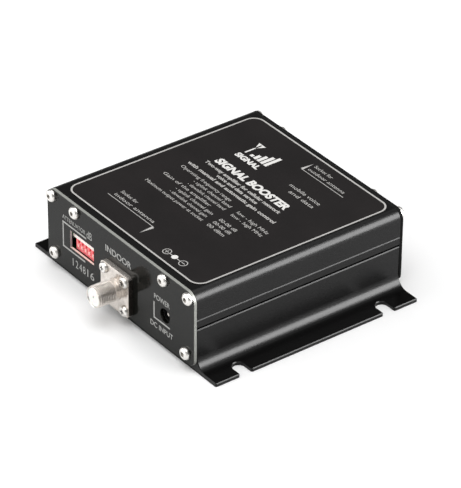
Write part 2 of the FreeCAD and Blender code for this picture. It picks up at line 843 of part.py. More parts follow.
def make_main_board():
    """The main circuit board, its standoffs and screws."""
    wide = size("board_half_width")
    long = size("board_half_length")
    thick = size("board_thick")
    bottom = board_top - thick
    board = new_body("main_board")
    pad(board, "XY", bottom, thick, rectangle(-wide, wide, -long, long))
    holes = [circle(across, along, 1.6) for across, along in standoff_places()]
    pocket(board, "XY", bottom - CUT_MARGIN, thick + CUT_MARGIN * 2, *holes)
    standoffs = new_body("board_standoffs")
    low = size("floor_thick") + STANDOFF_BOSS
    pad(standoffs, "XY", low, bottom - low, *[hexagon(x, y, 2.75) for x, y in standoff_places()])
    bores = [circle(across, along, 1.55) for across, along in standoff_places()]
    pocket(standoffs, "XY", low - CUT_MARGIN, bottom - low + CUT_MARGIN * 2, *bores)
    screws = new_body("board_screws")
    shanks = [circle(across, along, 1.5) for across, along in standoff_places()]
    pad(screws, "XY", board_top - 6.0, 6.2, *shanks)
    heads = [circle(across, along, 2.75) for across, along in standoff_places()]
    head_tall = 2.0
    pad(screws, "XY", board_top, head_tall, *heads)
    fillet(screws, 1.2, round_edge_at(2, board_top + head_tall))
    recesses = [cross(across, along, 1.5, 0.35) for across, along in standoff_places()]
    pocket(screws, "XY", board_top + head_tall / 2, head_tall, *recesses)


def chips(label, places, low, tall, wide, deep):
    """A group of like blocks standing on the board."""
    body = new_body(label)
    outlines = [middle_rectangle(across, along, wide, deep) for across, along in places]
    pad(body, "XY", low, tall, *outlines)
    return body


SHIELD = {"left": -28.0, "right": 20.0, "front": -26.0, "rear": 34.0}
SHIELD_RIB = (-4.5, -4.0)
SHIELD_WALL = 0.5
SHIELD_TALL = 7.0
HEATED = {"left": -22.0, "right": 14.0, "front": 18.0, "rear": 34.0}
PART_GAP = 0.02


def shield_outline(grow):
    """The shield's rectangle, made larger all round by `grow`."""
    return rectangle(
        SHIELD["left"] - grow, SHIELD["right"] + grow, SHIELD["front"] - grow, SHIELD["rear"] + grow
    )


def make_shield(on_board):
    """The two-room shield frame and the lid that clips over it."""
    frame = new_body("shield_frame")
    pad(frame, "XY", on_board, SHIELD_TALL, shield_outline(0.0))
    front = SHIELD["front"] + SHIELD_WALL
    rear = SHIELD["rear"] - SHIELD_WALL
    left_room = rectangle(SHIELD["left"] + SHIELD_WALL, SHIELD_RIB[0], front, rear)
    right_room = rectangle(SHIELD_RIB[1], SHIELD["right"] - SHIELD_WALL, front, rear)
    pocket(frame, "XY", on_board - CUT_MARGIN, SHIELD_TALL + CUT_MARGIN * 2, left_room, right_room)

    lid = new_body("shield_lid")
    skirt = 2.0
    play = 0.05
    lid_under = on_board + SHIELD_TALL + play
    pad(lid, "XY", lid_under - skirt, skirt + 0.4, shield_outline(0.4))
    pocket(lid, "XY", lid_under - skirt - CUT_MARGIN, skirt + CUT_MARGIN, shield_outline(play))


def make_electronics():
    """The shield, filters, amplifiers, supply parts and the path for the amplifiers' heat."""
    on_board = board_top + PART_GAP
    make_shield(on_board)
    chips("duplexer_filters", [(-12.0, -36.0), (-12.0, 42.5)], on_board, 4.5, 18.0, 8.0)
    chips("band_filters", [(-16, -14), (-16, 6), (8, -14), (8, 6)], on_board, 1.6, 3.8, 3.8)
    chips("gain_amplifiers", [(-16, -4), (-16, 16), (8, -4), (8, 16)], on_board, 1.2, 4.5, 4.0)
    chips("power_amplifiers", [(-16, 26), (8, 26)], on_board, 1.4, 6.0, 6.0)
    chips("controller_chip", [(36.0, 20.0)], on_board, 1.5, 10.0, 10.0)
    chips("voltage_regulator", [(38.0, -20.0)], on_board, 2.3, 6.6, 9.6)
    coil = chips("power_inductor", [(27.0, -22.0)], on_board, 4.8, 10.0, 10.0)
    fillet(coil, 1.5, lambda edge: runs_along(edge, 2))
    cans = new_body("supply_capacitors")
    can_tall = 10.5
    pad(cans, "XY", on_board, can_tall, circle(38.0, -2.0, 4.0), circle(28.0, -6.0, 4.0))
    fillet(cans, 0.6, round_edge_at(2, on_board + can_tall))
    input_grid = [(-40.0 + 4.0 * column, -24.0 + 12.0 * line) for column in range(3) for line in range(5)]
    chips("chip_passives", input_grid, on_board, 0.9, 2.0, 1.25)
    supply_grid = [(26.0 + 4.0 * column, 30.0 + 4.0 * line) for column in range(4) for line in range(2)]
    chips("supply_passives", supply_grid, on_board, 1.0, 2.0, 1.25)

    # A block on the floor and a soft pad carry heat from the board's underside to the case.
    heated = rectangle(HEATED["left"], HEATED["right"], HEATED["front"], HEATED["rear"])
    floor = size("floor_thick")
    pad_thick = 0.6
    block_top = board_top - size("board_thick") - pad_thick
    block = new_body("heat_block")
    pad(block, "XY", floor + PART_GAP, block_top - floor - PART_GAP, heated)
    soft_pad = new_body("thermal_pad")
    pad(soft_pad, "XY", block_top + PART_GAP, pad_thick - 2 * PART_GAP, heated)


# ---------------------------------------------------------------- build, check and write

def check_document():
    """Stops if any object failed to compute or any body's shape is unusable."""
    doc.recompute()
    for thing in doc.Objects:
        if "Invalid" in thing.State or "Error" in thing.State:
            raise RuntimeError(f"{thing.Label} failed: {thing.State}")
    for body in bodies():
        if body.Shape.isNull() or not body.Shape.isValid():
            raise RuntimeError(f"{body.Label} has no valid shape")


def bodies():
    """Every sub-part of the document."""
    return [thing for thing in doc.Objects if thing.TypeId == "PartDesign::Body"]


def write_parts():
    """Writes each sub-part to its own STEP file."""
    os.makedirs(OUTPUT_FOLDER, exist_ok=True)
    for body in bodies():
        body.Shape.exportStep(f"{OUTPUT_FOLDER}/{body.Label}.step")
        print(f"{body.Label}: {len(body.Shape.Solids)} solid(s), {body.Shape.Volume:.1f} mm3")


make_lower_shell()
make_upper_shell()
make_panels()
make_panel_screws()
make_top_label()
make_socket("indoor", -1)
make_socket("outdoor", 1)
make_switch()
make_power_socket()
make_main_board()
make_electronics()
check_document()
write_parts()
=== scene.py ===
"""Looks of a cellular signal booster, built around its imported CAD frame.

Row frame: metres, +Z up, X across the mounting flanges, -Y out of the front panel.
Sizes below are in millimetres and are turned into metres by MM.
"""
import json
import math

import bmesh
import bpy
from mathutils import Matrix, Vector


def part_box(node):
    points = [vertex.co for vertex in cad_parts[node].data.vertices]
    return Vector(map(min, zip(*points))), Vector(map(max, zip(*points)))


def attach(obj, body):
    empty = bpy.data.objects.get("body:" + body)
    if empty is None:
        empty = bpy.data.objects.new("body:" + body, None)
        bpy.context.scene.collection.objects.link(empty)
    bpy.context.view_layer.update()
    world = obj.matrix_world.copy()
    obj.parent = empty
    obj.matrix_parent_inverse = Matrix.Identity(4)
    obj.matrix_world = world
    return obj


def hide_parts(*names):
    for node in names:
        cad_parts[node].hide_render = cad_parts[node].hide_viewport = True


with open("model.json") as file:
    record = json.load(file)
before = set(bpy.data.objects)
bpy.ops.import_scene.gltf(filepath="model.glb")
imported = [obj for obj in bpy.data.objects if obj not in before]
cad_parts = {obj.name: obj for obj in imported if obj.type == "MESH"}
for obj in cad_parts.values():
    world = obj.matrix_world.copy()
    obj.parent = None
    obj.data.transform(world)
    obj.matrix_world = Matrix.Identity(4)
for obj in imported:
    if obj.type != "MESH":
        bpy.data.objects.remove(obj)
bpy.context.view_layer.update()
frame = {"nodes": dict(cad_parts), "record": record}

nodes = frame["nodes"]
scene = bpy.context.scene
CASE = "case"
MM = 0.001


# ---------------------------------------------------------------- materials

class Finish:
    """A Principled material being made. Its texture coordinates are metres in the row frame."""

    def __init__(self, name, metallic=0.0, roughness=0.5, specular=0.5):
        self.material = bpy.data.materials.new(name)
        self.material.use_nodes = True
        self.tree = self.material.node_tree
        self.shader = self.tree.nodes["Principled BSDF"]
        self.shader.inputs["Metallic"].default_value = metallic
        self.shader.inputs["Roughness"].default_value = roughness
        self.shader.inputs["Specular IOR Level"].default_value = specular
        self.place = self.add("ShaderNodeTexCoord").outputs["Object"]
        self.relief = None

    def add(self, kind, inputs=None, **settings):
        """A node of that kind; inputs are set to a value or joined to a socket."""
        node = self.tree.nodes.new(kind)
        for key, value in settings.items():
            setattr(node, key, value)
        for key, value in (inputs or {}).items():
            if isinstance(value, bpy.types.NodeSocket):
                self.tree.links.new(value, node.inputs[key])
            else:
                node.inputs[key].default_value = value
        return node

    def grain(self, across, detail=3.0, distortion=0.0):
        """Noise from 0 to 1 whose features are about that many millimetres on each axis."""
        stretch = [1.0 / (length * MM) for length in across]
        scaled = self.add("ShaderNodeVectorMath", {0: self.place, 1: stretch}, operation="MULTIPLY")
        noise = self.add(
            "ShaderNodeTexNoise",
            {"Vector": scaled.outputs[0], "Scale": 1.0, "Detail": detail, "Distortion": distortion},
        )
        return noise.outputs["Fac"]

    def spread(self, value, low, high, start=0.3, end=0.7):
        """Moves a value from the range start..end to low..high."""
        return self.add(
            "ShaderNodeMapRange",
            {"Value": value, "From Min": start, "From Max": end, "To Min": low, "To Max": high},
        ).outputs["Result"]

    def blend(self, share, first, second):
        """A colour between two, each a colour or a socket."""
        first = (*first, 1.0) if isinstance(first, tuple) else first
        second = (*second, 1.0) if isinstance(second, tuple) else second
        mix = self.add("ShaderNodeMix", data_type="RGBA")
        for index, value in ((0, share), (6, first), (7, second)):
            if isinstance(value, bpy.types.NodeSocket):
                self.tree.links.new(value, mix.inputs[index])
            else:
                mix.inputs[index].default_value = value
        return mix.outputs[2]

    def maths(self, operation, first, second):
        return self.add("ShaderNodeMath", {0: first, 1: second}, operation=operation).outputs[0]

    def near_axis(self, across, up, radius, soft=0.1):
        """1 within that many millimetres of a line along Y, 0 outside it."""
        flat = self.add("ShaderNodeVectorMath", {0: self.place, 1: (1.0, 0.0, 1.0)}, operation="MULTIPLY")
        centre = (across * MM, 0.0, up * MM)
        reach = self.add("ShaderNodeVectorMath", {0: flat.outputs[0], 1: centre}, operation="DISTANCE")
        return self.spread(reach.outputs["Value"], 1.0, 0.0, (radius - soft) * MM, (radius + soft) * MM)

    def set(self, socket, value):
        self.tree.links.new(value, self.shader.inputs[socket])

    def emboss(self, height, depth):
        """Adds relief of that depth, in millimetres, on top of any relief given before."""
        inputs = {"Height": height, "Distance": depth * MM, "Strength": 1.0}
        if self.relief is not None:
            inputs["Normal"] = self.relief
        self.relief = self.add("ShaderNodeBump", inputs).outputs["Normal"]
        self.set("Normal", self.relief)


# Height over which the painted shade on the flanges' tops fades out.
SHADE_FROM, SHADE_TO = 5.0, 7.0


def extruded_anodised():
    """Satin black anodised aluminium: a fine etched grain, faint die lines along Y, and painted shade on the
    flanges' tops.
    """
    finish = Finish("black_anodised_extrusion", roughness=0.3, specular=0.2)
    die_lines = finish.grain((0.35, 30.0, 0.35), detail=2.0)
    etch = finish.grain((0.16, 0.16, 0.16), detail=2.0)
    sparkle = finish.grain((0.5, 0.7, 0.5), detail=2.0)
    cloud = finish.grain((18.0, 30.0, 18.0))
    tone = finish.blend(finish.spread(cloud, 0.0, 1.0), (0.0018, 0.0018, 0.0020), (0.0032, 0.0030, 0.0031))
    tone = finish.blend(finish.spread(etch, 0.0, 0.35), tone, (0.0075, 0.0072, 0.0072))

    # Painted shade: faces near the floor that look up, which are the flanges' tops, are made darker and less
    # glossy than the rest.
    normal = finish.add("ShaderNodeNewGeometry").outputs["True Normal"]
    rise = finish.add("ShaderNodeSeparateXYZ", {0: normal}).outputs["Z"]
    level = finish.spread(rise, 0.0, 1.0, 0.78, 0.94)
    height = finish.add("ShaderNodeSeparateXYZ", {0: finish.place}).outputs["Z"]
    low_down = finish.spread(height, 1.0, 0.0, SHADE_FROM * MM, SHADE_TO * MM)
    painted_shade = finish.maths("MULTIPLY", level, low_down)
    finish.set("Base Color", finish.blend(painted_shade, tone, (0.0022, 0.0021, 0.0021)))
    finish.set("Specular IOR Level", finish.spread(painted_shade, 0.2, 0.05, 0.0, 1.0))
    drawn = finish.spread(die_lines, 0.25, 0.31)
    finish.set("Roughness", finish.maths("ADD", drawn, finish.spread(sparkle, 0.0, 0.05)))
    finish.emboss(sparkle, 0.005)
    finish.emboss(etch, 0.0035)
    finish.emboss(die_lines, 0.0018)
    return finish


COAT_SPECULAR = 0.13
DULL_SPECULAR = 0.02
# Distance from the middle of the case, along Y, over which the pale hole's wall begins; behind it the wall is
# left black as painted shade.
PALE_FROM, PALE_TO = 51.0, 51.15
PALE_WALL = (0.84, 0.70, 0.63)
# A darker copy of the pale wall for its side faces: painted shade.
SHADED_SIDE_WALL = (0.44, 0.41, 0.41)


def coated_plate(name, edge_colour, edge_metallic, black_hole=None, pale_hole=None):
    """Glossy black coated plate. Its cut edges don't face along Y and have their own colour.

    Each hole is (across, up, radius) in millimetres: the wall of one stays black, that of the
    other is pale near the plate's face, with its side faces darker as painted shade, and black
    behind as painted shade.
    """
    finish = Finish(name, roughness=0.12, specular=COAT_SPECULAR)
    peel = finish.grain((1.6, 1.6, 1.6), detail=1.5)
    dust = finish.grain((0.22, 0.22, 0.22), detail=2.0)
    cloud = finish.grain((14.0, 14.0, 14.0))
    saw_marks = finish.grain((6.0, 0.12, 6.0), detail=2.0)
    normal = finish.add("ShaderNodeNewGeometry").outputs["True Normal"]
    parts = finish.add("ShaderNodeSeparateXYZ", {0: normal})
    facing = finish.maths("ABSOLUTE", parts.outputs["Y"], 0.0)
    cut_edge = finish.spread(facing, 1.0, 0.0, 0.55, 0.75)
    if black_hole:
        outside = finish.maths("SUBTRACT", 1.0, finish.near_axis(*black_hole))
        cut_edge = finish.maths("MULTIPLY", cut_edge, outside)
    coat = finish.blend(finish.spread(cloud, 0.0, 1.0), (0.0042, 0.0044, 0.0038), (0.0066, 0.0068, 0.0058))
    coat = finish.blend(finish.spread(dust, 0.0, 0.5, 0.55, 0.8), coat, (0.02, 0.02, 0.018))
    dim_edge = tuple(0.75 * c for c in edge_colour)
    edge = finish.blend(finish.spread(saw_marks, 0.0, 1.0), edge_colour, dim_edge)
    edge_shine = edge_metallic
    if pale_hole:
        along = finish.add("ShaderNodeSeparateXYZ", {0: finish.place}).outputs["Y"]
        out = finish.maths("ABSOLUTE", along, 0.0)
        outer = finish.spread(out, 0.0, 1.0, PALE_FROM * MM, PALE_TO * MM)
        inside = finish.near_axis(*pale_hole)
        # Painted shade: the pale hole's wall is left black behind its pale part.
        shaded_depth = finish.maths("MULTIPLY", inside, finish.maths("SUBTRACT", 1.0, outer))
        cut_edge = finish.maths("MULTIPLY", cut_edge, finish.maths("SUBTRACT", 1.0, shaded_depth))
        # Painted shade: the pale wall's faces that look sideways take its darker copy.
        sideways_shade = finish.spread(finish.maths("ABSOLUTE", parts.outputs["X"], 0.0), 0.0, 1.0, 0.4, 0.8)
        wall = finish.blend(sideways_shade, PALE_WALL, SHADED_SIDE_WALL)
        edge = finish.blend(inside, edge, wall)
        edge_shine = finish.maths("MULTIPLY", edge_metallic, finish.maths("SUBTRACT", 1.0, inside))
    finish.set("Base Color", finish.blend(cut_edge, coat, edge))
    finish.set("Metallic", finish.maths("MULTIPLY", cut_edge, edge_shine))
    if not edge_metallic:
        finish.set("Specular IOR Level", finish.spread(cut_edge, COAT_SPECULAR, DULL_SPECULAR, 0.0, 1.0))
    gloss = finish.spread(dust, 0.09, 0.14)
    finish.set("Roughness", finish.maths("ADD", gloss, finish.maths("MULTIPLY", cut_edge, 0.38)))
    finish.emboss(peel, 0.0012)
    finish.emboss(dust, 0.0003)
    return finish


def printed_film():
    """Satin black label film with a faint stipple."""
    finish = Finish("label_film", roughness=0.42, specular=0.22)
    stipple = finish.grain((0.2, 0.2, 0.2), detail=2.0)
    cloud = finish.grain((22.0, 16.0, 10.0))
    tone = finish.blend(finish.spread(cloud, 0.0, 1.0), (0.0062, 0.0050, 0.0050), (0.0098, 0.0080, 0.0080))
    finish.set("Base Color", finish.blend(finish.spread(stipple, 0.0, 0.3), tone, (0.018, 0.015, 0.015)))
    finish.set("Roughness", finish.spread(stipple, 0.38, 0.48))
    finish.emboss(stipple, 0.003)
    return finish


def ink(name, bright, dim):
    """Screen-printed ink: slightly uneven cover."""
    finish = Finish(name, roughness=0.5, specular=0.4)
    cover = finish.grain((0.35, 0.35, 0.35), detail=3.0)
    finish.set("Base Color", finish.blend(finish.spread(cover, 0.0, 1.0), bright, dim))
    finish.set("Roughness", finish.spread(cover, 0.42, 0.58))
    finish.emboss(cover, 0.002)
    return finish


HOLLOW_SHADE = (0.02, 0.018, 0.016)


def metal(name, bright, dim, roughness, grain=(0.5, 0.5, 0.5), depth=0.002, hollow=0.0, darkest=1.0):
    """Plated or bare metal: tarnish in soft clouds, fine working marks, and painted shade in its hollows.

    The hollows are those within `hollow` millimetres, and `darkest` is the share of shade that
    the deepest of them get.
    """
    finish = Finish(name, metallic=1.0, roughness=roughness)
    cloud = finish.grain((2.5, 2.5, 2.5))
    marks = finish.grain(grain, detail=3.0)
    colour = finish.blend(finish.spread(cloud, 0.0, 1.0), bright, dim)
    if hollow:
        # Painted shade: hollows found by ambient occlusion are darkened towards HOLLOW_SHADE.
        open_share = finish.add("ShaderNodeAmbientOcclusion", {"Distance": hollow * MM}, samples=8)
        shade = finish.spread(open_share.outputs["AO"], darkest, 0.0, 0.3, 0.75)
        colour = finish.blend(shade, colour, HOLLOW_SHADE)
    finish.set("Base Color", colour)
    finish.set("Roughness", finish.spread(marks, roughness * 0.8, roughness * 1.25))
    finish.emboss(marks, depth)
    return finish


# Across, up and radius of the space round a socket's barrel, which gets no painted shade.
BARREL_ROOM = (0.0, 13.8, 7.0)
# Near-black colour of the painted shade on the flange's sides.
SIDE_SHADE = (0.06, 0.05, 0.045)


def nickel_socket():
    """Nickel plate, with painted shade that blackens the flange's left and right sides."""
    finish = metal(
        "nickel_plate", (0.78, 0.73, 0.68), (0.62, 0.575, 0.53), 0.24,
        grain=(0.3, 0.3, 0.3), depth=0.0025, hollow=0.6, darkest=0.75,
    )
    finish.shader.inputs["Metallic"].default_value = 0.8
    normal = finish.add("ShaderNodeNewGeometry").outputs["True Normal"]
    across = finish.add("ShaderNodeSeparateXYZ", {0: normal}).outputs["X"]
    # Painted shade: the flange's faces that look sideways, away from the barrel, are darkened nearly to
    # black.
    sideways_shade = finish.spread(finish.maths("ABSOLUTE", across, 0.0), 0.0, 1.0, 0.75, 0.95)
    barrel = finish.near_axis(*BARREL_ROOM)
    side = finish.maths("MULTIPLY", sideways_shade, finish.maths("SUBTRACT", 1.0, barrel))
    plain = finish.shader.inputs["Base Color"].links[0].from_socket
    finish.set("Base Color", finish.blend(side, plain, SIDE_SHADE))
    return finish


def moulded(name, light, dark, roughness, depth=0.002, texture=0.12, subsurface=0.0, specular=0.5):
    """Moulded plastic: a spark-eroded texture of that size in millimetres, and slight flow clouds."""
    finish = Finish(name, roughness=roughness, specular=specular)
    finish.shader.inputs["Subsurface Weight"].default_value = subsurface
    finish.shader.inputs["Subsurface Scale"].default_value = 0.6 * MM
    cloud = finish.grain((1.8, 1.8, 1.8))
    spark = finish.grain((texture, texture, texture), detail=2.0)
    finish.set("Base Color", finish.blend(finish.spread(cloud, 0.0, 1.0), light, dark))
    finish.set("Roughness", finish.spread(spark, roughness * 0.85, roughness * 1.2))
    finish.emboss(spark, depth)
    return finish


def circuit_board():
    """Green solder mask over copper tracks that run in bands along X and Y."""
    finish = Finish("circuit_board", roughness=0.3)
    units_per_metre = [900.0] * 3
    scaled = finish.add("ShaderNodeVectorMath", {0: finish.place, 1: units_per_metre}, operation="MULTIPLY")
    bands = {"Scale": 1.0, "Mortar Size": 0.12, "Brick Width": 6.0, "Row Height": 1.4}
    tracks = finish.add("ShaderNodeTexBrick", {"Vector": scaled.outputs[0], **bands}).outputs["Fac"]
    cloud = finish.grain((6.0, 6.0, 6.0))
    mask = finish.blend(finish.spread(cloud, 0.0, 1.0), (0.012, 0.11, 0.035), (0.016, 0.15, 0.05))
    finish.set("Base Color", finish.blend(tracks, mask, (0.035, 0.24, 0.075)))
    finish.set("Roughness", finish.spread(cloud, 0.26, 0.36))
    finish.emboss(tracks, 0.035)
    return finish


BARE_ALUMINIUM = (0.38, 0.385, 0.36)
DULL_EDGE = (0.012, 0.012, 0.012)
# Across, up and radius of the two openings in the front panel; the radius takes in the whole wall.
JACK_HOLE = (31.0, 16.9, 3.5)
SWITCH_WINDOW = (-25.7, 18.9, 11.0)
finishes = {
    "black_anodised": extruded_anodised(),
    "panel_black": coated_plate("front_panel_coating", BARE_ALUMINIUM, 0.4, JACK_HOLE, SWITCH_WINDOW),
    "label_film": printed_film(),
    "bright_zinc": metal(
        "bright_zinc", (0.84, 0.82, 0.79), (0.74, 0.72, 0.69), 0.32, depth=0.003, hollow=0.8
    ),
    "nickel_plate": nickel_socket(),
    "gold_contact": metal("gold_contact", (0.86, 0.66, 0.30), (0.74, 0.54, 0.22), 0.22),
    "tinned_metal": metal("tinned_metal", (0.74, 0.74, 0.72), (0.62, 0.62, 0.60), 0.34, depth=0.004),
    "brass_standoff": metal("brass_standoff", (0.78, 0.58, 0.27), (0.66, 0.47, 0.2), 0.3, (1.5, 1.5, 0.1)),
    "aluminium_can": metal("aluminium_can", (0.80, 0.81, 0.83), (0.70, 0.71, 0.73), 0.3, (1.0, 1.0, 0.1)),
    "bare_aluminium": metal(
        "bare_aluminium", (0.74, 0.75, 0.76), (0.64, 0.65, 0.66), 0.36, (2.0, 0.1, 0.1), 0.004
    ),
    "white_insulator": moulded(
        "white_insulator", (0.92, 0.92, 0.90), (0.86, 0.86, 0.84), 0.4, subsurface=0.2
    ),
    "red_switch": moulded("red_switch", (1.0, 0.20, 0.22), (0.92, 0.15, 0.165), 0.38),
    "white_slider": moulded("white_slider", (1.0, 0.52, 0.50), (0.94, 0.46, 0.44), 0.4, subsurface=0.15),
    "black_plastic": moulded("black_plastic", (0.014, 0.014, 0.014), (0.009, 0.009, 0.009), 0.5, 0.006, 0.2),
    "ceramic_block": moulded("ceramic_block", (0.62, 0.57, 0.48), (0.52, 0.47, 0.40), 0.55, 0.004, 0.15),
    "black_chip": moulded("black_chip", (0.018, 0.018, 0.019), (0.011, 0.011, 0.012), 0.55, 0.006, 0.15),
    "thermal_rubber": moulded("thermal_rubber", (0.36, 0.43, 0.52), (0.30, 0.37, 0.45), 0.7, 0.01, 0.4),
    "circuit_board": circuit_board(),
}
rear_panel_coating = coated_plate("rear_panel_coating", DULL_EDGE, 0.0)
pale_strip = moulded("pale_strip", (1.0, 0.93, 0.87), (0.95, 0.86, 0.80), 0.45, subsurface=0.1)
bold_film_ink = ink("bold_film_ink", (0.72, 0.71, 0.69), (0.62, 0.61, 0.59))
film_ink = ink("film_ink", (0.46, 0.45, 0.43), (0.38, 0.37, 0.36))
panel_ink = ink("panel_ink", (0.38, 0.38, 0.365), (0.31, 0.31, 0.30))

slot_of = {part["node"]: part["material_slot"] for part in frame["record"]["subparts"]}
own_finish = {"rear_panel": rear_panel_coating, "switch_cover_strip": pale_strip}
for name, node in nodes.items():
    node.data.materials.clear()
    node.data.materials.append(own_finish.get(name, finishes[slot_of[name]]).material)


# ---------------------------------------------------------------- mesh helpers

def show(mesh, name, finish, smooth_angle=35.0):
    """Makes an object of the mesh, in that finish, that rides on the case."""
    mesh.name = name
    piece = bpy.data.objects.new(name, mesh)
    scene.collection.objects.link(piece)
    mesh.materials.clear()
    mesh.materials.append(finish.material)
    mesh.shade_smooth()
    mesh.set_sharp_from_angle(angle=math.radians(smooth_angle))
    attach(piece, CASE)
    return piece


def curve_mesh(curve):
    """The filled, extruded mesh of a text or a flat curve."""
    holder = bpy.data.objects.new("holder", curve)
    scene.collection.objects.link(holder)
    mesh = bpy.data.meshes.new_from_object(holder.evaluated_get(bpy.context.evaluated_depsgraph_get()))
    bpy.data.objects.remove(holder)
    bpy.data.curves.remove(curve)
    return mesh


def flat_shape(loops, thick):
    """A plate of that thickness centred on its plane; inner loops are holes in the outer one."""
    curve = bpy.data.curves.new("outline", "CURVE")
    curve.dimensions = "2D"
    curve.fill_mode = "BOTH"
    curve.extrude = thick / 2
    for loop in loops:
        spline = curve.splines.new("POLY")
        spline.points.add(len(loop) - 1)
        for point, (across, up) in zip(spline.points, loop):
            point.co = (across, up, 0.0, 1.0)
        spline.use_cyclic_u = True
    return curve_mesh(curve)


def arc(middle, radius, start, end, steps):
    """Points on an arc; the angles are in degrees, anticlockwise from across."""
    angles = [math.radians(start + (end - start) * i / steps) for i in range(steps + 1)]
    return [(middle[0] + radius * math.cos(a), middle[1] + radius * math.sin(a)) for a in angles]


def ring_points(middle, radius, steps=32):
    return arc(middle, radius, 0, 360, steps)[:-1]


def rounded_box(left, right, bottom, top, radius, steps=8):
    """Outline of a rectangle with round corners."""
    corners = ((right, bottom, 270), (right, top, 0), (left, top, 90), (left, bottom, 180))
    points = []
    for x, y, start in corners:
        middle = (x - math.copysign(radius, x - left - 1e-6), y - math.copysign(radius, y - bottom - 1e-6))
        points += arc(middle, radius, start, start + 90, steps)
    return points


# ---------------------------------------------------------------- printed graphics

RIGHT, LEFT = Vector((1, 0, 0)), Vector((-1, 0, 0))
BACK, UP = Vector((0, 1, 0)), Vector((0, 0, 1))
INK_THICK = 0.03


def cap_height_of_font():
    curve = bpy.data.curves.new("measure", "FONT")
    curve.body = "H"
    mesh = curve_mesh(curve)
    tall = max(v.co.y for v in mesh.vertices)
    bpy.data.meshes.remove(mesh)
    return tall


CAP_HEIGHT = cap_height_of_font()


class Print:
    """Ink on one flat face. Its shapes are in millimetres across and up the face."""

    def __init__(self, name, origin, across, up):
        self.name = name
        self.ink = bmesh.new()
        out = across.cross(up)
        turn = Matrix((across, up, out)).transposed().to_4x4()
        self.face = Matrix.Translation(origin) @ turn @ Matrix.Scale(MM, 4)

    def add(self, mesh, place=Matrix.Identity(4)):
        mesh.transform(self.face @ place)
        self.ink.from_mesh(mesh)
        bpy.data.meshes.remove(mesh)

    def shape(self, *loops):
        self.add(flat_shape(loops, INK_THICK))

    def bar(self, left, right, bottom, top):
        self.shape([(left, bottom), (right, bottom), (right, top), (left, top)])

    def words(self, text, left, right, base, cap, weight=0.0, slant=0.0):
        """A line of text on a baseline, fitted between left and right, with capitals of height cap."""
        curve = bpy.data.curves.new("text", "FONT")
        curve.body = text
        curve.offset = weight
        curve.shear = slant
        curve.resolution_u = 4
        curve.extrude = INK_THICK / 2 * CAP_HEIGHT / cap
        mesh = curve_mesh(curve)
        low = min(v.co.x for v in mesh.vertices)
        high = max(v.co.x for v in mesh.vertices)
        wide, tall = (right - left) / (high - low), cap / CAP_HEIGHT
        fitted = Matrix.Diagonal((wide, tall, tall, 1.0)) @ Matrix.Translation((-low, 0, 0))
        self.add(mesh, Matrix.Translation((left, base, 0)) @ fitted)

    def print_in(self, ink_finish):
        mesh = bpy.data.meshes.new(self.name)
        bmesh.ops.dissolve_degenerate(self.ink, dist=1e-8, edges=self.ink.edges)
        self.ink.to_mesh(mesh)
        self.ink.free()
        show(mesh, self.name, ink_finish)


def polarity_sign(sheet, bold, left, middle, right, height, radius, line):
    """The usual sign for a centre-positive plug: a plus ring, a dot and a minus ring on one line."""
    stroke = radius * 0.5
    dot = radius * 0.72
    for across in (left, right):
        sheet.shape(ring_points((across, height), radius), ring_points((across, height), radius - line))
        sheet.bar(across - stroke, across + stroke, height - line / 2, height + line / 2)
    sheet.bar(left - line / 2, left + line / 2, height - stroke, height + stroke)
    sheet.bar(left + radius, middle - dot, height - line / 2, height + line / 2)
    sheet.bar(middle + dot, right - radius, height - line / 2, height + line / 2)
    bold.shape(ring_points((middle, height), dot))


